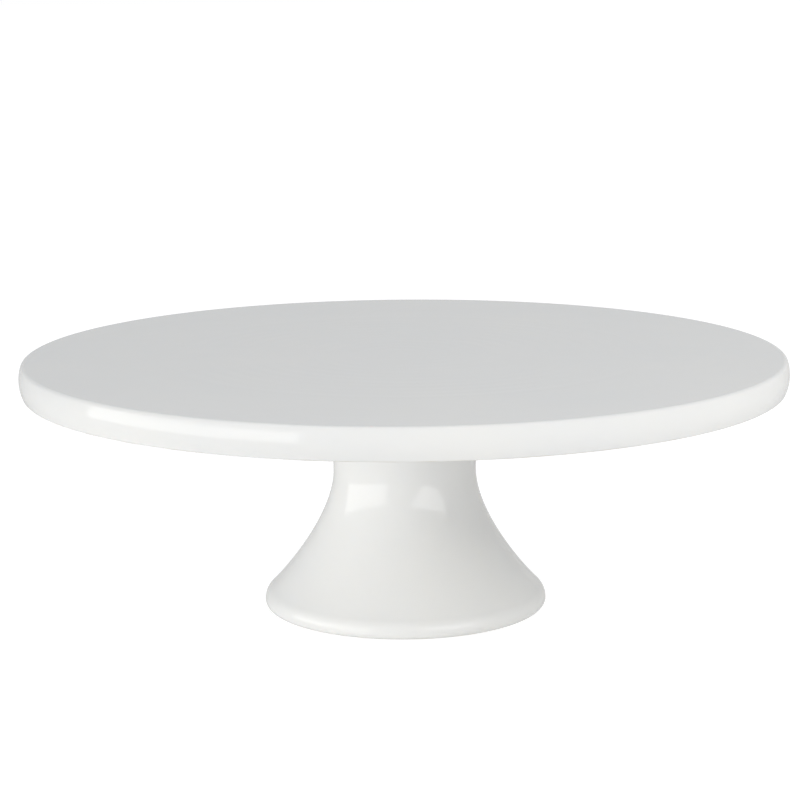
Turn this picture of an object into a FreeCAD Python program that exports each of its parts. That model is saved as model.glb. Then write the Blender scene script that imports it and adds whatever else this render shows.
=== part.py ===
"""Porcelain cake stand: a flat round plate with a turned-down rim on a hollow, flared pedestal.

The plate and the pedestal are fired apart. A hand screw under the pedestal's top web pulls the
plate down onto a soft gasket, through a brass insert that is cemented into the plate.

Millimetres, +Z up. The origin is the centre of the foot, on the surface that the stand rests on.
Every outline is drawn as (radius, height) and turned about the Z axis.
"""

import FreeCAD, Part
import math
import os

os.makedirs("parts", exist_ok=True)

# Plate
stand_height = 101.0
plate_radius = 150.0
plate_thickness = 5.5
rim_depth = 12.0
rim_widest_below_top = 5.8
rim_top_edge_radius = 1.8
rim_side_radius = 14.5
rim_lower_edge_radius = 0.8
rim_inner_radius = 144.2
rim_inner_edge_radius = 1.6
recess_cove_radius = 4.2

# Boss and spigot in the middle of the plate's underside
boss_radius = 43.0
boss_cove_radius = 3.0
boss_edge_radius = 1.0
spigot_radius = 26.4
spigot_length = 4.8
spigot_chamfer = 0.8

# Pedestal
foot_radius = 56.0
foot_bullnose_radius = 2.6
foot_flat_inner_radius = 49.0
foot_inner_edge_radius = 1.2
lip_radius = 6.4
lip_angle = 47.0
flare_handle_at_lip = 6.0
flare_handle_at_neck = 18.9
neck_radius = 28.25
neck_height = 54.5
wall = 5.0
inner_flare_handle_at_foot = 8.0
inner_flare_handle_at_neck = 21.0
stem_top_radius = 39.0
stem_above_rim = 1.0
stem_top_edge_radius = 1.5
stem_handle_at_neck = 14.0
stem_handle_at_top = 10.0
stem_top_slope = 56.0
throat_radius = 26.5
throat_cove_radius = 3.5
throat_handle = 8.0
web_thickness = 6.0
socket_depth = 4.5
socket_clearance = 0.6
web_hole_radius = 5.0

# Gasket between the boss and the pedestal
gasket_thickness = 1.0
gasket_inner_radius = 28.5
gasket_outer_radius = 37.5

# Hand screw, its insert and its washers (M8 coarse thread)
thread_major_radius = 3.95
thread_pitch = 1.25
thread_depth = 0.6
thread_running_gap = 0.05
thread_tip_chamfer = 0.8
screw_engagement = 8.6
screw_shank_in_knob = 9.0
screw_head_across_flats = 13.0
screw_head_thickness = 5.0
insert_radius = 6.5
insert_length = 9.5
insert_groove_radius = 5.7
insert_groove_width = 2.5
insert_recess = 0.5
cement_thickness = 2.0
cement_cap_thickness = 1.0
washer_radius = 12.0
washer_hole_radius = 4.25
steel_washer_thickness = 1.6
rubber_washer_thickness = 1.5
knob_radius = 14.0
knob_height = 22.0
knob_lobes = 6
knob_scallop_radius = 7.5
knob_scallop_depth = 2.6
knob_collar_radius = 9.5
knob_collar_height = 4.0
knob_edge_radius = 1.5

# Heights that follow from the sizes above
plate_underside = stand_height - plate_thickness
rim_bottom = stand_height - rim_depth
stem_top = rim_bottom + stem_above_rim
boss_bottom = stem_top + gasket_thickness
spigot_bottom = boss_bottom - spigot_length
socket_floor = stem_top - socket_depth
socket_radius = spigot_radius + socket_clearance
web_underside = socket_floor - web_thickness
insert_bottom = spigot_bottom + insert_recess
insert_top = insert_bottom + insert_length
rubber_washer_bottom = web_underside - rubber_washer_thickness
steel_washer_bottom = rubber_washer_bottom - steel_washer_thickness
knob_bottom = steel_washer_bottom - knob_height
screw_tip = insert_bottom + screw_engagement

Z_AXIS = FreeCAD.Vector(0, 0, 1)
ORIGIN = FreeCAD.Vector(0, 0, 0)


def point(radius, height):
    """A point of an outline, in the half-plane that is turned about the Z axis."""
    return FreeCAD.Vector(radius, 0, height)


def on_circle(centre, radius, angle):
    """The point of a circle at an angle in degrees, counted from straight outwards towards up."""
    turn = math.radians(angle)
    return point(centre[0] + radius * math.cos(turn), centre[1] + radius * math.sin(turn))


def arc(centre, radius, start, end):
    """A circular arc between two angles in degrees."""
    middle = on_circle(centre, radius, (start + end) / 2)
    return Part.Arc(on_circle(centre, radius, start), middle, on_circle(centre, radius, end)).toShape()


def line(start, end):
    """A straight edge between two (radius, height) pairs."""
    return Part.makeLine(point(*start), point(*end))


def bezier(*poles):
    """A Bezier edge through (radius, height) poles."""
    curve = Part.BezierCurve()
    curve.setPoles([point(*pole) for pole in poles])
    return curve.toShape()


def chain(pieces):
    """Join edges end to end, with a straight edge across each gap between one and the next."""
    edges = []
    for number, piece in enumerate(pieces):
        following = pieces[(number + 1) % len(pieces)]
        gap_start = piece.valueAt(piece.LastParameter)
        gap_end = following.valueAt(following.FirstParameter)
        edges.append(piece)
        if gap_start.distanceToPoint(gap_end) > 1e-6:
            edges.append(Part.makeLine(gap_start, gap_end))
    return Part.Wire(edges)


def turned(pieces):
    """The solid made by turning a closed outline about the Z axis."""
    return Part.Face(chain(pieces)).revolve(ORIGIN, Z_AXIS, 360)


def ring(inner_radius, outer_radius, bottom, height):
    """A flat washer-shaped solid."""
    outer = Part.makeCylinder(outer_radius, height, FreeCAD.Vector(0, 0, bottom))
    return outer.cut(Part.makeCylinder(inner_radius, height, FreeCAD.Vector(0, 0, bottom)))


def make_cake_plate():
    """Flat plate, turned-down convex rim, recessed underside, and a boss with a spigot and a pocket."""
    side_centre = (plate_radius - rim_side_radius, stand_height - rim_widest_below_top)
    top_reach = rim_side_radius - rim_top_edge_radius
    top_angle = math.degrees(math.asin((rim_widest_below_top - rim_top_edge_radius) / top_reach))
    top_centre_point = on_circle(side_centre, top_reach, top_angle)
    top_centre = (top_centre_point.x, top_centre_point.z)
    below_widest = rim_depth - rim_widest_below_top
    low_reach = rim_side_radius - rim_lower_edge_radius
    low_angle = -math.degrees(math.asin((below_widest - rim_lower_edge_radius) / low_reach))
    low_centre_point = on_circle(side_centre, low_reach, low_angle)
    low_centre = (low_centre_point.x, low_centre_point.z)
    inner_edge_centre = (rim_inner_radius + rim_inner_edge_radius, rim_bottom + rim_inner_edge_radius)
    cove_centre = (rim_inner_radius - recess_cove_radius, plate_underside - recess_cove_radius)
    boss_cove_centre = (boss_radius + boss_cove_radius, plate_underside - boss_cove_radius)
    boss_edge_centre = (boss_radius - boss_edge_radius, boss_bottom + boss_edge_radius)
    pocket_radius = insert_radius + cement_thickness
    pocket_top = insert_top + cement_cap_thickness
    outline = [
        line((0, stand_height), (top_centre[0], stand_height)),
        arc(top_centre, rim_top_edge_radius, 90, top_angle),
        arc(side_centre, rim_side_radius, top_angle, low_angle),
        arc(low_centre, rim_lower_edge_radius, low_angle, -90),
        arc(inner_edge_centre, rim_inner_edge_radius, 270, 180),
        arc(cove_centre, recess_cove_radius, 0, 90),
        arc(boss_cove_centre, boss_cove_radius, 90, 180),
        arc(boss_edge_centre, boss_edge_radius, 0, -90),
        line((spigot_radius, boss_bottom), (spigot_radius, spigot_bottom + spigot_chamfer)),
        line((spigot_radius - spigot_chamfer, spigot_bottom), (pocket_radius, spigot_bottom)),
        line((pocket_radius, pocket_top), (0, pocket_top)),
    ]
    return turned(outline)


def make_pedestal():
    """Hollow flared pedestal: rounded foot lip, slender neck, and a top web with a socket and a hole."""
    bullnose_centre = (foot_radius - foot_bullnose_radius, foot_bullnose_radius)
    lip_centre = (foot_radius - lip_radius, foot_bullnose_radius)
    lip_end = on_circle(lip_centre, lip_radius, lip_angle)
    lip_turn = math.radians(lip_angle)
    flare_start = (lip_end.x, lip_end.z)
    flare_start_handle = (
        lip_end.x - flare_handle_at_lip * math.sin(lip_turn),
        lip_end.z + flare_handle_at_lip * math.cos(lip_turn),
    )
    top_edge_centre = (stem_top_radius - stem_top_edge_radius, stem_top - stem_top_edge_radius)
    top_slope = math.radians(stem_top_slope)
    stem_end = on_circle(top_edge_centre, stem_top_edge_radius, stem_top_slope - 90)
    stem_end_handle = (
        stem_end.x - stem_handle_at_top * math.cos(top_slope),
        stem_end.z - stem_handle_at_top * math.sin(top_slope),
    )
    throat_top = web_underside - throat_cove_radius
    inner_neck_radius = neck_radius - wall
    foot_inner_centre = (foot_flat_inner_radius, foot_inner_edge_radius)
    foot_wall = foot_flat_inner_radius - foot_inner_edge_radius
    outline = [
        arc(bullnose_centre, foot_bullnose_radius, -90, 0),
        arc(lip_centre, lip_radius, 0, lip_angle),
        bezier(
            flare_start,
            flare_start_handle,
            (neck_radius, neck_height - flare_handle_at_neck),
            (neck_radius, neck_height),
        ),
        bezier(
            (neck_radius, neck_height),
            (neck_radius, neck_height + stem_handle_at_neck),
            stem_end_handle,
            (stem_end.x, stem_end.z),
        ),
        arc(top_edge_centre, stem_top_edge_radius, stem_top_slope - 90, 90),
        line((socket_radius, stem_top), (socket_radius, socket_floor)),
        line((web_hole_radius, socket_floor), (web_hole_radius, web_underside)),
        arc((throat_radius - throat_cove_radius, throat_top), throat_cove_radius, 90, 0),
        bezier(
            (throat_radius, throat_top),
            (throat_radius, throat_top - throat_handle),
            (inner_neck_radius, neck_height + throat_handle),
            (inner_neck_radius, neck_height),
        ),
        bezier(
            (inner_neck_radius, neck_height),
            (inner_neck_radius, neck_height - inner_flare_handle_at_neck),
            (foot_wall, foot_inner_edge_radius + inner_flare_handle_at_foot),
            (foot_wall, foot_inner_edge_radius),
        ),
        arc(foot_inner_centre, foot_inner_edge_radius, 180, 270),
    ]
    return turned(outline)


def make_threaded_insert():
    """Brass insert with a plain running bore and one groove that keys it into the cement."""
    bore_radius = thread_major_radius + thread_running_gap
    groove_bottom = (insert_bottom + insert_top - insert_groove_width) / 2
    body = ring(bore_radius, insert_radius, insert_bottom, insert_length)
    return body.cut(ring(insert_groove_radius, insert_radius, groove_bottom, insert_groove_width))


def make_insert_cement(insert):
    """Cement that fills the pocket around and above the insert."""
    pocket_radius = insert_radius + cement_thickness
    height = insert_length + cement_cap_thickness
    fill = Part.makeCylinder(pocket_radius, height, FreeCAD.Vector(0, 0, insert_bottom))
    bore_radius = thread_major_radius + thread_running_gap
    bore = Part.makeCylinder(bore_radius, insert_length, FreeCAD.Vector(0, 0, insert_bottom))
    return fill.cut(insert.fuse(bore))


def make_clamp_screw():
    """Hex-headed screw, its thread shown as rings one pitch apart from the knob to the tip."""
    head_top = steel_washer_bottom - screw_shank_in_knob
    root_radius = thread_major_radius - thread_depth
    thread_start = steel_washer_bottom
    ring_count = int((screw_tip - thread_tip_chamfer - thread_start) / thread_pitch)
    corners = [(0, head_top), (thread_major_radius, head_top), (thread_major_radius, thread_start)]
    for number in range(ring_count):
        bottom = thread_start + number * thread_pitch
        corners.append((root_radius, bottom + thread_pitch / 2))
        corners.append((thread_major_radius, bottom + thread_pitch))
    corners.append((thread_major_radius, screw_tip - thread_tip_chamfer))
    corners.append((thread_major_radius - thread_tip_chamfer, screw_tip))
    corners.append((0, screw_tip))
    edges = [line(start, end) for start, end in zip(corners, corners[1:])]
    shank = turned(edges)
    corner_radius = screw_head_across_flats / 2 / math.cos(math.radians(30))
    hexagon = []
    for number in range(7):
        turn = math.radians(60 * number)
        head_bottom = head_top - screw_head_thickness
        hexagon.append(
            FreeCAD.Vector(corner_radius * math.cos(turn), corner_radius * math.sin(turn), head_bottom)
        )
    head = Part.Face(Part.makePolygon(hexagon)).extrude(Z_AXIS * screw_head_thickness)
    return shank.fuse(head).removeSplitter()


def make_screw_knob(screw):
    """Lobed hand knob, moulded around the screw's head."""
    grip_height = knob_height - knob_collar_height
    grip = Part.makeCylinder(knob_radius, grip_height, FreeCAD.Vector(0, 0, knob_bottom))
    for number in range(knob_lobes):
        turn = 2 * math.pi * (number + 0.5) / knob_lobes
        reach = knob_radius + knob_scallop_radius - knob_scallop_depth
        centre = FreeCAD.Vector(reach * math.cos(turn), reach * math.sin(turn), knob_bottom)
        grip = grip.cut(Part.makeCylinder(knob_scallop_radius, grip_height, centre))
    end_edges = [edge for edge in grip.Edges if edge.BoundBox.ZLength < 1e-6]
    grip = grip.makeFillet(knob_edge_radius, end_edges)
    collar_bottom = knob_bottom + grip_height
    collar = Part.makeCylinder(knob_collar_radius, knob_collar_height, FreeCAD.Vector(0, 0, collar_bottom))
    return grip.fuse(collar).cut(screw).removeSplitter()


insert = make_threaded_insert()
screw = make_clamp_screw()
parts = {
    "cake_plate": make_cake_plate(),
    "pedestal": make_pedestal(),
    "threaded_insert": insert,
    "insert_cement": make_insert_cement(insert),
    "joint_gasket": ring(gasket_inner_radius, gasket_outer_radius, stem_top, gasket_thickness),
    "rubber_washer": ring(washer_hole_radius, washer_radius, rubber_washer_bottom, rubber_washer_thickness),
    "steel_washer": ring(washer_hole_radius, washer_radius, steel_washer_bottom, steel_washer_thickness),
    "clamp_screw": screw,
    "screw_knob": make_screw_knob(screw),
}
for name, shape in parts.items():
    shape.exportStep(f"parts/{name}.step")
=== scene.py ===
import math

import bpy
from mathutils import Matrix, Vector, noise


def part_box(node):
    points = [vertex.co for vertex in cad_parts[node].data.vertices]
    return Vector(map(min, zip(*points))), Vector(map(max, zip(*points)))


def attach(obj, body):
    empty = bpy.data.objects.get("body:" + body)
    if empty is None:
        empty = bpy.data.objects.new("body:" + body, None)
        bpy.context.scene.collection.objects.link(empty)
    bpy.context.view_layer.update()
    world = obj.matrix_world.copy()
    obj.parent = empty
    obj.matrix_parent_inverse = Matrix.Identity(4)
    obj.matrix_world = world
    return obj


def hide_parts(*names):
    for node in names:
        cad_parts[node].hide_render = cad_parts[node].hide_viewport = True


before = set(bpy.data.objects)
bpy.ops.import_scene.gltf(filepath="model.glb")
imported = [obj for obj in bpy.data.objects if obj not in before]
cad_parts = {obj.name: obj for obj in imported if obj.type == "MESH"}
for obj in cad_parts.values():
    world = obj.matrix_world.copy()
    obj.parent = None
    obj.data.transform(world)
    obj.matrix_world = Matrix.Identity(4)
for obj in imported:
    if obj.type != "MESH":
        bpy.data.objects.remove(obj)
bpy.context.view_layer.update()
MM = 0.001
UNIT = (0.0, 1.0)
NOISE_SPAN = (0.3, 0.7)  # Where most of a noise texture's values lie

# Boxes of the CAD nodes, in metres
plate_low, plate_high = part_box("cake_plate")
stem_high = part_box("pedestal")[1]
gasket_low, gasket_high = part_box("joint_gasket")
cement_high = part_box("insert_cement")[1]
rubber_low, rubber_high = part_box("rubber_washer")
steel_low, steel_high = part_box("steel_washer")
screw_low, screw_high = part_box("clamp_screw")
knob_low, knob_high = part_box("screw_knob")


def widest(node):
    """The radius of a CAD node's widest vertex, in metres."""
    return max(math.hypot(vertex.co.x, vertex.co.y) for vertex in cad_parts[node].data.vertices)


# ---------------------------------------------------------------- outlines and turned meshes


def clamped(value):
    """The value, kept from 0 to 1."""
    return max(0.0, min(1.0, value))


def on_circle(centre, radius, angle):
    """The (radius, height) of a circle's point, with the angle in degrees from straight outwards."""
    turn = math.radians(angle)
    return (centre[0] + radius * math.cos(turn), centre[1] + radius * math.sin(turn))


def arc(centre, radius, start, end, step=7.5):
    """Points of an arc, its ends included, about step degrees apart."""
    count = max(2, round(abs(end - start) / step))
    return [on_circle(centre, radius, start + (end - start) * i / count) for i in range(count + 1)]


def bezier(p0, p1, p2, p3, count=24):
    """Points of a cubic Bezier curve, its ends included."""
    points = []
    for i in range(count + 1):
        t = i / count
        weights = ((1 - t) ** 3, 3 * t * (1 - t) ** 2, 3 * t * t * (1 - t), t ** 3)
        points.append(tuple(sum(w * p[axis] for w, p in zip(weights, (p0, p1, p2, p3))) for axis in (0, 1)))
    return points


def straight(start, end, step):
    """Points of a straight run, its ends included, about step metres apart."""
    count = max(1, round(math.dist(start, end) / step))
    return [tuple(a + (b - a) * i / count for a, b in zip(start, end)) for i in range(count + 1)]


SAME_POINT = 1e-7


def turned(name, outline, segments, material, shape=None):
    """A closed mesh made by turning an outline about Z. shape(radius, height, angle) moves its points.

    An outline that starts and ends on the axis is capped by one vertex at each end. Any other is a ring.
    """
    points = [outline[0]]
    for point in outline[1:]:
        if math.dist(point, points[-1]) > SAME_POINT:
            points.append(point)
    capped = points[0][0] < SAME_POINT and points[-1][0] < SAME_POINT
    if not capped and math.dist(points[0], points[-1]) < SAME_POINT:
        points.pop()
    vertices = []
    faces = []
    rows = points[1:-1] if capped else points
    for radius, height in rows:
        for i in range(segments):
            angle = 2 * math.pi * i / segments
            r, z = shape(radius, height, angle) if shape else (radius, height)
            vertices.append((r * math.cos(angle), r * math.sin(angle), z))
    last = len(rows) if not capped else len(rows) - 1
    for row in range(last):
        here = row * segments
        there = (row + 1) % len(rows) * segments
        for i in range(segments):
            j = (i + 1) % segments
            faces.append((here + i, there + i, there + j, here + j))
    if capped:
        for point, row in ((points[0], 0), (points[-1], len(rows) - 1)):
            pole = len(vertices)
            vertices.append((0, 0, (shape(*point, 0) if shape else point)[1]))
            here = row * segments
            for i in range(segments):
                j = (i + 1) % segments
                faces.append((pole, here + i, here + j) if row == 0 else (pole, here + j, here + i))
    mesh = bpy.data.meshes.new(name)
    mesh.from_pydata(vertices, [], faces)
    mesh.materials.append(material)
    mesh.polygons.foreach_set("use_smooth", [True] * len(mesh.polygons))
    mesh.update()
    piece = bpy.data.objects.new(name, mesh)
    bpy.context.scene.collection.objects.link(piece)
    return piece


def place(piece, body, slot, *nodes):
    """The piece rides on a body and stands for CAD nodes, which are hidden. The slot is not used."""
    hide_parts(*nodes)
    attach(piece, body)


# ---------------------------------------------------------------- materials


def node_tools(tree):
    """A node tree's two makers: add(kind, settings) for a node, and link(output, input)."""

    def add(kind, **settings):
        """Makes a node. Each setting is one of its properties, or else the value of an input."""
        node = tree.nodes.new(kind)
        for key, value in settings.items():
            if hasattr(node, key):
                setattr(node, key, value)
            else:
                node.inputs[key].default_value = value
        return node

    return add, tree.links.new


def new_material(name):
    """A node material: (material, its node maker, its link maker, its Principled shader)."""
    material = bpy.data.materials.new(name)
    material.use_nodes = True
    add, link = node_tools(material.node_tree)
    return material, add, link, material.node_tree.nodes["Principled BSDF"]


def texture(add, link, coordinates, kind, **settings):
    """A texture node that reads the piece's own coordinates, in metres."""
    node = add(kind, **settings)
    link(coordinates.outputs["Object"], node.inputs["Vector"])
    return node


def between(add, link, factor, low, high, values):
    """Maps a factor from the range low to high onto the two given values."""
    node = add("ShaderNodeMapRange")
    for socket, value in zip(("From Min", "From Max", "To Min", "To Max"), (low, high, *values)):
        node.inputs[socket].default_value = value
    link(factor, node.inputs["Value"])
    return node.outputs["Result"]


def blend_colours(add, link, factor, first, second):
    """Mixes two colours, or the outputs of two nodes, by a factor."""
    node = add("ShaderNodeMix", data_type="RGBA")
    link(factor, node.inputs["Factor"])
    for socket, colour in (("A", first), ("B", second)):
        target = [s for s in node.inputs if s.name == socket and s.type == "RGBA"][0]
        if isinstance(colour, tuple):
            target.default_value = (*colour, 1)
        else:
            link(colour, target)
    return [s for s in node.outputs if s.type == "RGBA"][0]


def math_node(add, link, operation, first, second):
    """One arithmetic node. Each operand is a number or another node's output."""
    node = add("ShaderNodeMath", operation=operation)
    for socket, value in zip(node.inputs, (first, second)):
        if isinstance(value, (int, float)):
            socket.default_value = value
        else:
            link(value, socket)
    return node.outputs[0]


def bumped(add, link, shader, layers):
    """Stacks bump layers, each (height output, depth in metres), onto the shader's normal."""
    normal = None
    for height, depth in layers:
        bump = add("ShaderNodeBump")
        bump.inputs["Distance"].default_value = depth
        link(height, bump.inputs["Height"])
        if normal:
            link(normal, bump.inputs["Normal"])
        normal = bump.outputs["Normal"]
    link(normal, shader.inputs["Normal"])


GLAZE_COOL = (0.785, 0.785, 0.775)
GLAZE_WARM = (0.805, 0.800, 0.780)
GLAZE_ROUGHNESS = (0.03, 0.06)
GLAZE_IOR = 1.52
GLAZE_RIPPLE_DEPTH = 0.012 * MM
GLAZE_PEEL_DEPTH = 0.0008 * MM
GLAZE_LINE_WANDER = 0.25 * MM
GLAZE_LINE_SOFTNESS = 0.08 * MM
DRY_RING_SOFTNESS = 0.1 * MM
CLAY_SCATTER = 0.12
CLAY_SCATTER_RADIUS = (1.0, 0.9, 0.75)
CLAY_SCATTER_SCALE = 1.5 * MM
SPECK = (0.20, 0.16, 0.12)
SPECK_EDGE = (0.0085, 0.006)  # In cells, from no speck to full speck
SPECK_CHANCE = (0.955, 0.96)  # A cell's random value above which it has a speck
SPECK_STRENGTH = 0.6
BISQUE_LIGHT = (0.74, 0.72, 0.67)
BISQUE_DARK = (0.62, 0.59, 0.54)
BISQUE_ROUGHNESS = 0.72
BISQUE_GRIT_DEPTH = 0.06 * MM


def speckled(add, link, coordinates, white):
    """The glaze's colour with iron specks in it: a pinpoint in a few of a texture's cells."""
    cells = texture(add, link, coordinates, "ShaderNodeTexVoronoi", Scale=34.0, Randomness=1.0)
    near_centre = between(add, link, cells.outputs["Distance"], *SPECK_EDGE, UNIT)
    random_values = add("ShaderNodeSeparateColor")
    link(cells.outputs["Color"], random_values.inputs[0])
    chosen = between(add, link, random_values.outputs[0], *SPECK_CHANCE, (0.0, SPECK_STRENGTH))
    speck = math_node(add, link, "MULTIPLY", near_centre, chosen)
    return blend_colours(add, link, speck, white, SPECK)


def unglazed(add, link, coordinates, unevenness, dry_height, dry_radius):
    """How dry the surface is, 0 to 1: the ring below dry_height and outside dry_radius."""
    split = add("ShaderNodeSeparateXYZ")
    link(coordinates.outputs["Object"], split.inputs[0])
    wander = between(add, link, unevenness, *NOISE_SPAN, (-GLAZE_LINE_WANDER, GLAZE_LINE_WANDER))
    height = math_node(add, link, "ADD", split.outputs["Z"], wander)
    line_top = dry_height + GLAZE_LINE_SOFTNESS
    line_bottom = dry_height - GLAZE_LINE_SOFTNESS
    low = between(add, link, height, line_top, line_bottom, UNIT)
    flat = add("ShaderNodeCombineXYZ")
    link(split.outputs["X"], flat.inputs["X"])
    link(split.outputs["Y"], flat.inputs["Y"])
    reach = add("ShaderNodeVectorMath", operation="LENGTH")
    link(flat.outputs[0], reach.inputs[0])
    ring_start = dry_radius - DRY_RING_SOFTNESS
    ring_end = dry_radius + DRY_RING_SOFTNESS
    far = between(add, link, reach.outputs["Value"], ring_start, ring_end, UNIT)
    return math_node(add, link, "MULTIPLY", low, far)


def porcelain(name, dry_height, dry_radius):
    """Glazed white porcelain, left unglazed below dry_height where it is further out than dry_radius."""
    material, add, link, shader = new_material(name)
    coordinates = add("ShaderNodeTexCoord")
    clouds = texture(add, link, coordinates, "ShaderNodeTexNoise", Scale=16.0, Detail=3.0, Roughness=0.55)
    ripples = texture(add, link, coordinates, "ShaderNodeTexNoise", Scale=95.0, Detail=2.0, Roughness=0.4)
    peel = texture(add, link, coordinates, "ShaderNodeTexNoise", Scale=620.0, Detail=3.0, Roughness=0.5)
    grain = texture(add, link, coordinates, "ShaderNodeTexNoise", Scale=5200.0, Detail=2.0, Roughness=0.6)
    cloudy = between(add, link, clouds.outputs[0], *NOISE_SPAN, UNIT)
    glaze = speckled(add, link, coordinates, blend_colours(add, link, cloudy, GLAZE_COOL, GLAZE_WARM))
    bisque = blend_colours(add, link, grain.outputs[0], BISQUE_LIGHT, BISQUE_DARK)
    dry = unglazed(add, link, coordinates, ripples.outputs[0], dry_height, dry_radius)
    link(blend_colours(add, link, dry, glaze, bisque), shader.inputs["Base Color"])
    gloss = between(add, link, clouds.outputs[0], *NOISE_SPAN, GLAZE_ROUGHNESS)
    rough = add("ShaderNodeMix", data_type="FLOAT")
    link(dry, rough.inputs["Factor"])
    link(gloss, rough.inputs["A"])
    rough.inputs["B"].default_value = BISQUE_ROUGHNESS
    link(rough.outputs["Result"], shader.inputs["Roughness"])
    grit = math_node(add, link, "MULTIPLY", grain.outputs[0], dry)
    layers = [(ripples.outputs[0], GLAZE_RIPPLE_DEPTH), (peel.outputs[0], GLAZE_PEEL_DEPTH)]
    bumped(add, link, shader, [*layers, (grit, BISQUE_GRIT_DEPTH)])
    shader.inputs["IOR"].default_value = GLAZE_IOR
    shader.inputs["Subsurface Weight"].default_value = CLAY_SCATTER
    shader.inputs["Subsurface Radius"].default_value = CLAY_SCATTER_RADIUS
    shader.inputs["Subsurface Scale"].default_value = CLAY_SCATTER_SCALE
    return material


METAL_STREAK_DEPTH = 0.01 * MM
METAL_MOTTLE_DEPTH = 0.004 * MM
SCUFF_DEPTH = 0.02 * MM
SCUFF_SPAN = (0.35, 0.65)


def metal(name, light, dark, roughness, streaks):
    """Machined or plated metal, with turning marks along Z and a mottled finish."""
    material, add, link, shader = new_material(name)
    coordinates = add("ShaderNodeTexCoord")
    mottle = texture(add, link, coordinates, "ShaderNodeTexNoise", Scale=420.0, Detail=4.0, Roughness=0.6)
    squeezed = add("ShaderNodeMapping")
    squeezed.inputs["Scale"].default_value = (60.0, 60.0, streaks)
    link(coordinates.outputs["Object"], squeezed.inputs["Vector"])
    lines = add("ShaderNodeTexNoise", Scale=1.0, Detail=3.0)
    link(squeezed.outputs[0], lines.inputs["Vector"])
    link(blend_colours(add, link, mottle.outputs[0], light, dark), shader.inputs["Base Color"])
    link(between(add, link, mottle.outputs[0], *NOISE_SPAN, roughness), shader.inputs["Roughness"])
    layers = [(lines.outputs[0], METAL_STREAK_DEPTH), (mottle.outputs[0], METAL_MOTTLE_DEPTH)]
    bumped(add, link, shader, layers)
    shader.inputs["Metallic"].default_value = 1.0
    return material


def matt(name, light, dark, roughness, grain_scale, grain_depth):
    """Moulded plastic, rubber or cement: fine grain, mottled colour and scuffed patches."""
    material, add, link, shader = new_material(name)
    coordinates = add("ShaderNodeTexCoord")
    grain = texture(add, link, coordinates, "ShaderNodeTexNoise", Scale=grain_scale, Detail=3.0)
    patches = texture(add, link, coordinates, "ShaderNodeTexNoise", Scale=160.0, Detail=4.0, Roughness=0.6)
    link(blend_colours(add, link, patches.outputs[0], light, dark), shader.inputs["Base Color"])
    link(between(add, link, patches.outputs[0], *SCUFF_SPAN, roughness), shader.inputs["Roughness"])
    bumped(add, link, shader, [(grain.outputs[0], grain_depth), (patches.outputs[0], SCUFF_DEPTH)])
    return material


# ---------------------------------------------------------------- cake plate

top = plate_high.z
plate_radius = round(widest("cake_plate"), 4)
thickness = 5.5 * MM
rim_depth = 12.0 * MM
rim_widest = 5.8 * MM
top_edge = 1.8 * MM
side_bulge = 14.5 * MM
low_edge = 0.8 * MM
rim_bottom = top - rim_depth
ceiling = top - thickness
rim_inner_radius = plate_radius - 5.8 * MM
inner_edge = 1.6 * MM
recess_cove = 4.2 * MM
boss_radius = 43.0 * MM
boss_cove = 3.0 * MM
boss_edge = 1.0 * MM
spigot_radius = 26.4 * MM
spigot_chamfer = 0.8 * MM
rim_dry_height = 0.25 * MM
PLATE_SEGMENTS = 288
RINGS_END = 95.0 * MM
RINGS_FADE = 2.5 * MM
RING_STEP_WIDTH = 2.2 * MM
RING_PITCH = 7.0 * MM
BROAD_RING_PITCH = 4.3 * RING_PITCH
OUTER_RING_PITCH = 2.9 * RING_PITCH
RING_DEPTH = 0.006 * MM
RING_PATCH_SIZE = 28.0 * MM
RIM_WARP = 0.10 * MM
RIM_WARP_SIZE = 50.0 * MM
RIM_WARP_REACH = 8.0 * MM
TOP_EDGE_FADE = 6.0 * MM


def throwing_rings(radius, angle):
    """Height of the faint turning marks in the plate's top, in metres.

    Fine and broad ones fill the middle and end in one wider step. Only broad ones lie outside it. They
    drift with the angle, because the potter's rib moves outwards as the plate turns.
    """
    drift = angle / (2 * math.pi)
    inner = 1 / (1 + math.exp((radius - RINGS_END) / RINGS_FADE))
    fine = math.sin(2 * math.pi * (radius / RING_PITCH - drift))
    broad = math.sin(2 * math.pi * (radius / BROAD_RING_PITCH - drift) + 1.3)
    spot = Vector((math.cos(angle) * radius, math.sin(angle) * radius, 0.3)) / RING_PATCH_SIZE
    strength = 0.55 + 0.9 * noise.noise(spot)
    step = math.exp(-(((radius - RINGS_END) / RING_STEP_WIDTH) ** 2))
    outer = 0.35 * math.sin(2 * math.pi * radius / OUTER_RING_PITCH) * (1 - inner)
    return RING_DEPTH * (strength * (inner * (0.6 * fine + 0.5 * broad) + outer) - 1.1 * step)


def fired_warp(radius, height, angle, amount, size):
    """A slow, uneven movement of the clay in the kiln, in metres."""
    spot = Vector((radius * math.cos(angle), radius * math.sin(angle), height)) / size
    return amount * noise.noise(spot)


def plate_shape(radius, height, angle):
    """Turning marks on the top, and a slight wander of the rim."""
    if radius > plate_radius - RIM_WARP_REACH:
        radius += fired_warp(radius, height, angle, RIM_WARP, RIM_WARP_SIZE) - RIM_WARP / 2
    if height > top - 0.01 * MM:
        fade = clamped((plate_radius - top_edge - radius) / TOP_EDGE_FADE)
        height += fade * throwing_rings(radius, angle)
    return radius, height


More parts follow.
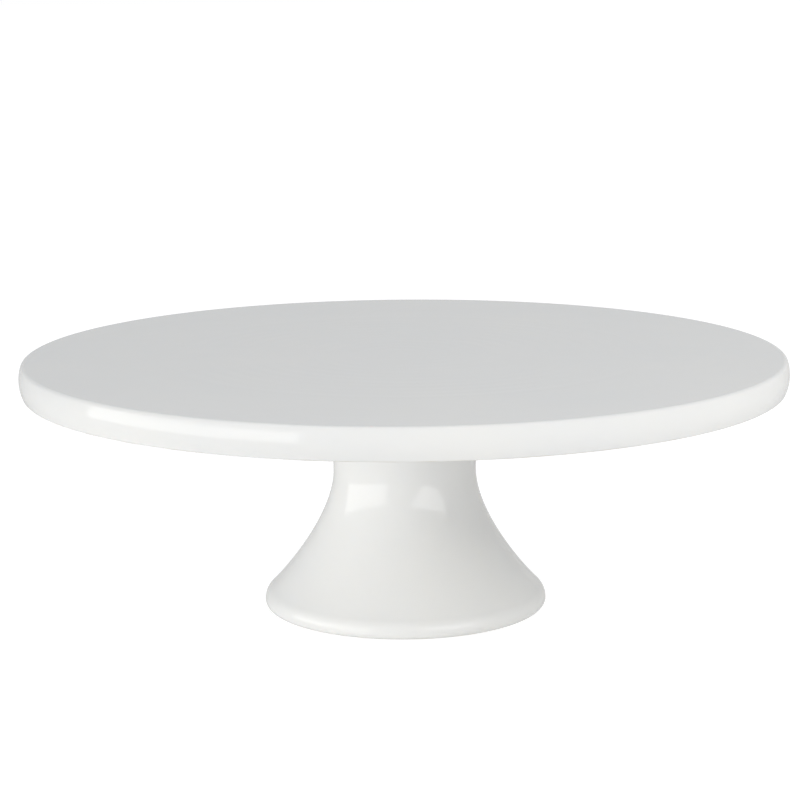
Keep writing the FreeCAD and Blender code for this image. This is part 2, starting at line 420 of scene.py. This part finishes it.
def make_plate():
    """The plate: flat top, rounded rim that turns down, recessed underside, boss and spigot."""
    side_centre = (plate_radius - side_bulge, top - rim_widest)
    reach = side_bulge - top_edge
    top_angle = math.degrees(math.asin((rim_widest - top_edge) / reach))
    top_centre = on_circle(side_centre, reach, top_angle)
    low_reach = side_bulge - low_edge
    low_angle = -math.degrees(math.asin((rim_depth - rim_widest - low_edge) / low_reach))
    low_centre = on_circle(side_centre, low_reach, low_angle)
    pocket_radius = widest("insert_cement")
    outline = straight((0, top), (top_centre[0], top), 0.75 * MM)
    outline += arc(top_centre, top_edge, 90, top_angle, 5)
    outline += arc(side_centre, side_bulge, top_angle, low_angle, 2)
    outline += arc(low_centre, low_edge, low_angle, -90, 10)
    outline += arc((rim_inner_radius + inner_edge, rim_bottom + inner_edge), inner_edge, 270, 180, 10)
    outline += arc((rim_inner_radius - recess_cove, ceiling - recess_cove), recess_cove, 0, 90)
    outline += straight((rim_inner_radius - recess_cove, ceiling), (boss_radius + boss_cove, ceiling), 4 * MM)
    outline += arc((boss_radius + boss_cove, ceiling - boss_cove), boss_cove, 90, 180)
    outline += arc((boss_radius - boss_edge, gasket_high.z + boss_edge), boss_edge, 0, -90)
    outline += [
        (spigot_radius, gasket_high.z),
        (spigot_radius, plate_low.z + spigot_chamfer),
        (spigot_radius - spigot_chamfer, plate_low.z),
        (pocket_radius, plate_low.z),
        (pocket_radius, cement_high.z),
        (0, cement_high.z),
    ]
    glaze = porcelain("plate_glaze", rim_bottom + rim_dry_height, rim_inner_radius)
    plate = turned("plate_porcelain", outline, PLATE_SEGMENTS, glaze, plate_shape)
    place(plate, "stand", "porcelain", "cake_plate")


# ---------------------------------------------------------------- pedestal

foot_radius = round(widest("pedestal"), 4)
bullnose = 2.6 * MM
foot_flat_inner = 49.0 * MM
foot_inner_edge = 1.2 * MM
lip_radius = 6.4 * MM
lip_angle = 47.0
flare_handle_at_lip = 6.0 * MM
flare_handle_at_neck = 18.9 * MM
neck_radius = 28.25 * MM
neck_height = 54.5 * MM
stem_handle_at_neck = 14.0 * MM
stem_handle_at_top = 10.0 * MM
wall = 5.0 * MM
inner_handle_at_neck = 21.0 * MM
inner_handle_at_foot = 8.0 * MM
stem_top_radius = 39.0 * MM
stem_top_edge = 1.5 * MM
stem_top_slope = 56.0
throat_radius = 26.5 * MM
throat_cove = 3.5 * MM
throat_handle = 8.0 * MM
socket_radius = 27.0 * MM
socket_depth = 4.5 * MM
web_hole_radius = 5.0 * MM
foot_dry_height = 0.3 * MM
PEDESTAL_SEGMENTS = 256
WALL_WARP = 0.06 * MM
WALL_WARP_SIZE = 35.0 * MM
FOOT_FADE = 12.0 * MM
STEM_TOP_FADE = 20.0 * MM


def pedestal_shape(radius, height, angle):
    """A slight fired wander of the slip-cast wall, none at the foot or where the plate sits."""
    fade = clamped(height / FOOT_FADE) * clamped((stem_high.z - height) / STEM_TOP_FADE)
    return radius + fade * fired_warp(radius, height, angle, WALL_WARP, WALL_WARP_SIZE), height


def make_pedestal():
    """The pedestal: rounded foot lip, concave flare, slender neck, top web with a socket, hollow inside."""
    lip_centre = (foot_radius - lip_radius, bullnose)
    lip_end = on_circle(lip_centre, lip_radius, lip_angle)
    flare_handle = on_circle(lip_end, flare_handle_at_lip, lip_angle + 90)
    neck = (neck_radius, neck_height)
    edge_centre = (stem_top_radius - stem_top_edge, stem_high.z - stem_top_edge)
    stem_end = on_circle(edge_centre, stem_top_edge, stem_top_slope - 90)
    stem_handle = on_circle(stem_end, stem_handle_at_top, stem_top_slope + 180)
    throat_top = rubber_high.z - throat_cove
    inner_neck = neck_radius - wall
    foot_wall = foot_flat_inner - foot_inner_edge
    socket_floor = stem_high.z - socket_depth
    outline = arc((foot_radius - bullnose, bullnose), bullnose, -90, 0, 6)
    outline += arc(lip_centre, lip_radius, 0, lip_angle, 4)
    outline += bezier(lip_end, flare_handle, (neck_radius, neck_height - flare_handle_at_neck), neck, 44)
    outline += bezier(neck, (neck_radius, neck_height + stem_handle_at_neck), stem_handle, stem_end, 32)
    outline += arc(edge_centre, stem_top_edge, stem_top_slope - 90, 90, 10)
    outline += [
        (socket_radius, stem_high.z),
        (socket_radius, socket_floor),
        (web_hole_radius, socket_floor),
        (web_hole_radius, rubber_high.z),
    ]
    outline += arc((throat_radius - throat_cove, throat_top), throat_cove, 90, 0)
    outline += bezier(
        (throat_radius, throat_top),
        (throat_radius, throat_top - throat_handle),
        (inner_neck, neck_height + throat_handle),
        (inner_neck, neck_height),
    )
    outline += bezier(
        (inner_neck, neck_height),
        (inner_neck, neck_height - inner_handle_at_neck),
        (foot_wall, foot_inner_edge + inner_handle_at_foot),
        (foot_wall, foot_inner_edge),
        40,
    )
    outline += arc((foot_flat_inner, foot_inner_edge), foot_inner_edge, 180, 270, 10)
    glaze = porcelain("pedestal_glaze", foot_dry_height, 0.0)
    pedestal = turned("pedestal_porcelain", outline, PEDESTAL_SEGMENTS, glaze, pedestal_shape)
    place(pedestal, "stand", "porcelain", "pedestal")


# ---------------------------------------------------------------- joint and hand screw

SILICONE_LIGHT = (0.66, 0.66, 0.64)
SILICONE_DARK = (0.58, 0.58, 0.56)
RUBBER_LIGHT = (0.035, 0.035, 0.036)
RUBBER_DARK = (0.02, 0.02, 0.02)
ZINC_LIGHT = (0.70, 0.72, 0.74)
ZINC_DARK = (0.56, 0.58, 0.60)
BRASS_LIGHT = (0.76, 0.58, 0.30)
BRASS_DARK = (0.62, 0.45, 0.21)
CEMENT_LIGHT = (0.52, 0.51, 0.48)
CEMENT_DARK = (0.40, 0.39, 0.37)
KNOB_LIGHT = (0.028, 0.028, 0.03)
KNOB_DARK = (0.018, 0.018, 0.02)
TURNED_STREAKS = 5200.0
ZINC_ROUGHNESS = (0.22, 0.36)
BRASS_ROUGHNESS = (0.24, 0.38)
gasket_inner_radius = 28.5 * MM
gasket_thickness = 1.0 * MM
washer_hole_radius = 4.25 * MM
thread_pitch = 1.25 * MM
thread_depth = 0.6 * MM
thread_radius = 3.95 * MM
thread_chamfer = 0.8 * MM
grip_radius = 14.0 * MM
grip_edge = 2.2 * MM
grip_lobes = 6
lobe_depth = 2.9 * MM
lobe_root = 6.5 * MM
collar_radius = 9.5 * MM
collar_height = 4.0 * MM
collar_ribs = 36
collar_rib_depth = 0.25 * MM
collar_edge = 0.5 * MM
dish_depth = 1.2 * MM
dish_flat = 6.0 * MM
dish_lip = 8.5 * MM


def rounded_ring(inner, outer, bottom, height, edge):
    """The outline of a flat ring with its four edges rounded."""
    low, high = bottom + edge, bottom + height - edge
    outline = arc((outer - edge, low), edge, -90, 0, 22.5)
    outline += arc((outer - edge, high), edge, 0, 90, 22.5)
    outline += arc((inner + edge, high), edge, 90, 180, 22.5)
    outline += arc((inner + edge, low), edge, 180, 270, 22.5)
    return outline


def make_washers_and_gasket(zinc):
    """The silicone gasket, the rubber washer and the zinc-plated steel washer."""
    outer = widest("joint_gasket")
    outline = rounded_ring(gasket_inner_radius, outer, gasket_low.z, gasket_thickness, edge=0.35 * MM)
    silicone = matt(
        "silicone",
        SILICONE_LIGHT,
        SILICONE_DARK,
        roughness=(0.38, 0.5),
        grain_scale=900.0,
        grain_depth=0.01 * MM,
    )
    gasket = turned("gasket_ring", outline, segments=128, material=silicone)
    place(gasket, "stand", "silicone", "joint_gasket")
    outer = widest("rubber_washer")
    rubber_thickness = rubber_high.z - rubber_low.z
    outline = rounded_ring(washer_hole_radius, outer, rubber_low.z, rubber_thickness, edge=0.3 * MM)
    rubber = matt(
        "black_rubber",
        RUBBER_LIGHT,
        RUBBER_DARK,
        roughness=(0.62, 0.8),
        grain_scale=2400.0,
        grain_depth=0.03 * MM,
    )
    rubber_piece = turned("rubber_washer_ring", outline, segments=96, material=rubber)
    place(rubber_piece, "washers", "washer_rubber", "rubber_washer")
    steel_thickness = steel_high.z - steel_low.z
    outline = rounded_ring(washer_hole_radius, outer, steel_low.z, steel_thickness, edge=0.25 * MM)
    steel_piece = turned("steel_washer_ring", outline, segments=96, material=zinc)
    place(steel_piece, "washers", "zinc_plated_steel", "steel_washer")


def threaded(radius, height, angle):
    """Cuts the helix into the shank, faded in above the knob."""
    start = steel_low.z
    if radius < thread_radius - thread_chamfer or height < start:
        return radius, height
    phase = ((height - start) / thread_pitch - angle / (2 * math.pi)) % 1
    groove = clamped(2.4 * (1 - abs(2 * phase - 1)) - 0.7)
    fade = min(1.0, (height - start) / thread_pitch)
    return min(radius, thread_radius - thread_depth * groove * fade), height


def make_screw(zinc):
    """The hand screw: plain shank in the knob, and one true helical M8 thread above it."""
    start = steel_low.z
    tip = screw_high.z
    step = thread_pitch / 10
    chamfer_foot = (thread_radius, tip - thread_chamfer)
    outline = [(0, screw_low.z), (thread_radius - 0.4 * MM, screw_low.z)]
    outline += straight((thread_radius, screw_low.z + 0.4 * MM), (thread_radius, start), 2 * MM)
    outline += straight((thread_radius, start), chamfer_foot, step)
    outline += straight(chamfer_foot, (thread_radius - thread_chamfer, tip), step)
    outline += [(0, tip)]
    screw = turned("clamp_screw_thread", outline, segments=60, material=zinc, shape=threaded)
    place(screw, "hand_screw", "zinc_plated_steel", "clamp_screw")


def lobed(radius, height, angle):
    """Presses the six finger hollows into the grip, and fine ribs into the collar."""
    if height > knob_high.z - collar_height + 0.2 * MM:
        if radius > collar_radius - 0.05 * MM:
            radius -= collar_rib_depth * (0.5 + 0.5 * math.cos(collar_ribs * angle))
        return radius, height
    share = clamped((radius - lobe_root) / (grip_radius - lobe_root))
    hollow = ((1 - math.cos(grip_lobes * angle)) / 2) ** 1.4
    return radius - lobe_depth * hollow * share, height


def make_knob():
    """The moulded knob: six rounded lobes, a collar, fine ribs on the collar and a dished end."""
    low = knob_low.z
    high = knob_high.z
    dish = low + dish_depth
    collar_start = high - collar_height
    grip_flat = grip_radius - grip_edge
    outline = [(0, dish)]
    outline += straight((1 * MM, dish), (dish_flat, dish), 1 * MM)
    outline += bezier(
        (dish_flat, dish), (dish_flat + 1.5 * MM, dish), (dish_lip - 1.5 * MM, low), (dish_lip, low), 8
    )
    outline += straight((dish_lip, low), (grip_flat, low), 1 * MM)
    outline += arc((grip_flat, low + grip_edge), grip_edge, -90, 0, 11.25)
    outline += straight((grip_radius, low + grip_edge), (grip_radius, collar_start - grip_edge), 1.2 * MM)
    outline += arc((grip_flat, collar_start - grip_edge), grip_edge, 0, 90, 11.25)
    outline += [(collar_radius + 0.4 * MM, collar_start), (collar_radius, collar_start + 0.4 * MM)]
    collar_low = (collar_radius, collar_start + collar_edge)
    outline += straight(collar_low, (collar_radius, high - collar_edge), 0.6 * MM)
    outline += arc((collar_radius - collar_edge, high - collar_edge), collar_edge, 0, 90, 22.5)
    outline += straight((collar_radius - collar_edge, high), (thread_radius, high), 1 * MM)
    outline += [(thread_radius, high - 1.0 * MM), (0, high - 1.0 * MM)]
    plastic = matt(
        "knob_plastic",
        KNOB_LIGHT,
        KNOB_DARK,
        roughness=(0.42, 0.58),
        grain_scale=3200.0,
        grain_depth=0.03 * MM,
    )
    knob = turned("hand_knob", outline, segments=216, material=plastic, shape=lobed)
    place(knob, "hand_screw", "knob_plastic", "screw_knob")


def finish_hidden_hardware():
    """The insert and its cement keep their CAD shapes, which are right, with their own finishes."""
    brass = metal("insert_brass", BRASS_LIGHT, BRASS_DARK, BRASS_ROUGHNESS, TURNED_STREAKS)
    cement = matt(
        "setting_cement",
        CEMENT_LIGHT,
        CEMENT_DARK,
        roughness=(0.85, 0.95),
        grain_scale=1500.0,
        grain_depth=0.12 * MM,
    )
    for node, material in (("threaded_insert", brass), ("insert_cement", cement)):
        for material_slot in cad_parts[node].material_slots:
            material_slot.material = material


zinc_plate = metal("zinc_plate", ZINC_LIGHT, ZINC_DARK, ZINC_ROUGHNESS, TURNED_STREAKS)
make_plate()
make_pedestal()
make_washers_and_gasket(zinc_plate)
make_screw(zinc_plate)
make_knob()
finish_hidden_hardware()

# ---------------------------------------------------------------- studio
# Lengths are in metres here, and angles in degrees.

FLOOR_SIZE = 30.0
FLOOR_DARK = (0.68, 0.68, 0.68)
FLOOR_LIGHT = (0.72, 0.72, 0.72)
FLOOR_SEEN = (0.25, 0.25, 0.25)
FLOOR_GLOW = 0.26
FLOOR_SWEEP = 0.85
WORLD_LEFT = (0.92, 0.925, 0.925)
WORLD_RIGHT = (1.05, 1.04, 1.02)
WORLD_ABOVE = (0.925, 0.95, 0.985)
WORLD_SIDE_BLEND = (-0.4, 0.4)
WORLD_UP_BLEND = (-0.1, 0.6)
WORLD_STRENGTH = 0.63
DAYLIGHT = (1.0, 1.0, 0.985)
LAMPLIGHT = (1.0, 0.995, 0.98)
CARD_WHITE = (1.0, 0.99, 0.97)
KEY_STRENGTH = 6.1
SIDE_STRENGTH = 1.2
RIGHT_STRENGTH = 3.5
LOW_STRENGTH = 0.30
LOW_SPREAD = 13.0
LEFT_CARD_STRENGTH = 1.75
RIGHT_CARD_STRENGTH = 1.9
CEILING_CARD_STRENGTH = 0.6
LEFT_CARD = ((-100, -7, 15), (-92, -7, 15), (-60, -9, 15), (-29, -11, 15))
RIGHT_CARD = ((7.8, 14.4, 14.4), (28.2, -8.7, 15.1), (49.5, -3.6, 15.8), (62.7, 16.2, 16.2))
CEILING_CARD = ((-90, 50, 80), (-45, 50, 80), (0, 50, 80), (45, 50, 80), (90, 50, 80))
CAMERA_DISTANCE = 0.900
CAMERA_HEIGHT = 0.2512
CAMERA_LENS = 104.38
CAMERA_PITCH = 10.638
CAMERA_YAW = -0.105
CAMERA_ROLL = -0.451


def make_floor():
    """A plain pale floor. It lights the stand as a real floor does, and the camera sees it washed out.

    From below it is clear, so that the stand's underside can be looked at.
    """
    material, add, link, shader = new_material("pale_floor")
    coordinates = add("ShaderNodeTexCoord")
    soft = texture(add, link, coordinates, "ShaderNodeTexNoise", Scale=6.0, Detail=3.0)
    paper = texture(add, link, coordinates, "ShaderNodeTexNoise", Scale=900.0, Detail=2.0)
    seen = add("ShaderNodeLightPath").outputs["Is Camera Ray"]
    tint = blend_colours(add, link, soft.outputs[0], FLOOR_DARK, FLOOR_LIGHT)
    link(blend_colours(add, link, seen, tint, FLOOR_SEEN), shader.inputs["Base Color"])
    bumped(add, link, shader, [(paper.outputs[0], 0.05 * MM)])
    shader.inputs["Roughness"].default_value = 0.8
    shader.inputs["Emission Color"].default_value = (1, 1, 1, 1)
    link(between(add, link, seen, *UNIT, (FLOOR_GLOW, FLOOR_SWEEP)), shader.inputs["Emission Strength"])
    surface = add("ShaderNodeMixShader")
    link(add("ShaderNodeNewGeometry").outputs["Backfacing"], surface.inputs[0])
    link(shader.outputs[0], surface.inputs[1])
    link(add("ShaderNodeBsdfTransparent").outputs[0], surface.inputs[2])
    link(surface.outputs[0], material.node_tree.nodes["Material Output"].inputs["Surface"])
    bpy.ops.mesh.primitive_plane_add(size=FLOOR_SIZE, location=(0, 0, 0))
    floor = bpy.context.object
    floor.name = "floor"
    floor.data.materials.append(material)
    floor.visible_glossy = False


def soft_panel(name, centre, aim, size, strength, colour, spread=180.0):
    """A softbox at centre, facing aim, that lights the stand but is not mirrored in it.

    size is its width and height, strength the radiance of its face, and spread the angle that a grid
    over it lets through.
    """
    width, height = size
    light = bpy.data.lights.new(name, "AREA")
    light.shape = "RECTANGLE"
    light.size = width
    light.size_y = height
    light.energy = strength * math.pi * width * height
    light.color = colour
    light.spread = math.radians(spread)
    panel = bpy.data.objects.new(name, light)
    facing = (Vector(aim) - Vector(centre)).to_track_quat("-Z", "Y")
    panel.matrix_world = Matrix.Translation(centre) @ facing.to_matrix().to_4x4()
    panel.visible_glossy = False
    bpy.context.scene.collection.objects.link(panel)


def flag_off(source_name, *lit_names):
    """Keeps a source to the named pieces, as a flag beside it would."""
    lit = bpy.data.collections.new(source_name + "_lights")
    for name in lit_names:
        lit.objects.link(bpy.data.objects[name])
    bpy.data.objects[source_name].light_linking.receiver_collection = lit


def mirrored_card(name, columns, distance, strength):
    """A glowing card round the stand that only the glaze mirrors, clear to what is behind it.

    Its columns are (azimuth, lower elevation, upper elevation) in degrees, seen from the neck.
    """
    points = []
    for azimuth, *elevations in columns:
        turn = math.radians(azimuth)
        for elevation in elevations:
            rise = distance * math.tan(math.radians(elevation))
            points.append((distance * math.sin(turn), -distance * math.cos(turn), neck_height + rise))
    faces = [(i, i + 1, i + 3, i + 2) for i in range(0, len(points) - 2, 2)]
    mesh = bpy.data.meshes.new(name)
    mesh.from_pydata(points, [], faces)
    material = bpy.data.materials.new(name)
    material.use_nodes = True
    add, link = node_tools(material.node_tree)
    glow = add("ShaderNodeEmission", Color=(*CARD_WHITE, 1), Strength=strength)
    both = add("ShaderNodeAddShader")
    link(glow.outputs[0], both.inputs[0])
    link(add("ShaderNodeBsdfTransparent").outputs[0], both.inputs[1])
    link(both.outputs[0], material.node_tree.nodes["Material Output"].inputs["Surface"])
    mesh.materials.append(material)
    card = bpy.data.objects.new(name, mesh)
    card.visible_camera = False
    card.visible_diffuse = False
    card.visible_shadow = False
    bpy.context.scene.collection.objects.link(card)


def make_world():
    """Even surroundings, a little dimmer on the left and above. The camera sees them as plain white."""
    world = bpy.data.worlds.new("studio")
    world.use_nodes = True
    background = world.node_tree.nodes["Background"]
    add, link = node_tools(world.node_tree)
    split = add("ShaderNodeSeparateXYZ")
    link(add("ShaderNodeTexCoord").outputs["Generated"], split.inputs[0])
    sideways = between(add, link, split.outputs["X"], *WORLD_SIDE_BLEND, UNIT)
    level = blend_colours(add, link, sideways, WORLD_LEFT, WORLD_RIGHT)
    upwards = between(add, link, split.outputs["Z"], *WORLD_UP_BLEND, UNIT)
    around = blend_colours(add, link, upwards, level, WORLD_ABOVE)
    seen = add("ShaderNodeLightPath").outputs["Is Camera Ray"]
    link(blend_colours(add, link, seen, around, (1.0, 1.0, 1.0)), background.inputs["Color"])
    link(between(add, link, seen, *UNIT, (WORLD_STRENGTH, 1.0)), background.inputs["Strength"])
    bpy.context.scene.world = world


def make_camera():
    """The camera: nearly level, a little above the plate, with a long lens."""
    data = bpy.data.cameras.new("camera")
    data.sensor_width = 36.0
    data.lens = CAMERA_LENS
    data.clip_start = 0.05
    data.clip_end = 60.0
    camera = bpy.data.objects.new("camera", data)
    pitch, yaw, roll = (math.radians(angle) for angle in (CAMERA_PITCH, CAMERA_YAW, CAMERA_ROLL))
    tilt = Matrix.Rotation(math.pi / 2 - pitch, 4, "X") @ Matrix.Rotation(roll, 4, "Z")
    place_at = Matrix.Translation((0, -CAMERA_DISTANCE, CAMERA_HEIGHT))
    camera.matrix_world = place_at @ Matrix.Rotation(-yaw, 4, "Z") @ tilt
    bpy.context.scene.collection.objects.link(camera)
    bpy.context.scene.camera = camera


make_floor()
make_world()
soft_panel(
    "key_panel",
    centre=(-1.30, -0.80, 0.15),
    aim=(0.0, 0.0, 0.05),
    size=(1.8, 0.30),
    strength=KEY_STRENGTH,
    colour=DAYLIGHT,
)
soft_panel(
    "side_panel",
    centre=(1.1, -0.6, 0.35),
    aim=(0.0, 0.0, 0.08),
    size=(0.8, 0.5),
    strength=SIDE_STRENGTH,
    colour=LAMPLIGHT,
)
soft_panel(
    "right_panel",
    centre=(0.9, -0.7, 1.0),
    aim=(0.0, 0.0, 0.08),
    size=(0.8, 0.8),
    strength=RIGHT_STRENGTH,
    colour=LAMPLIGHT,
)
soft_panel(
    "low_panel",
    centre=(-0.16, -0.58, 0.022),
    aim=(0.0, 0.0, 0.022),
    size=(0.5, 0.04),
    strength=LOW_STRENGTH,
    colour=DAYLIGHT,
    spread=LOW_SPREAD,
)
mirrored_card("left_card", LEFT_CARD, 3.0, LEFT_CARD_STRENGTH)
mirrored_card("right_card", RIGHT_CARD, 0.3, RIGHT_CARD_STRENGTH)
mirrored_card("ceiling_card", CEILING_CARD, 1.0, CEILING_CARD_STRENGTH)
flag_off("right_card", "pedestal_porcelain")
flag_off("side_panel", "plate_porcelain")
make_camera()
bpy.context.scene.view_settings.view_transform = "Standard"
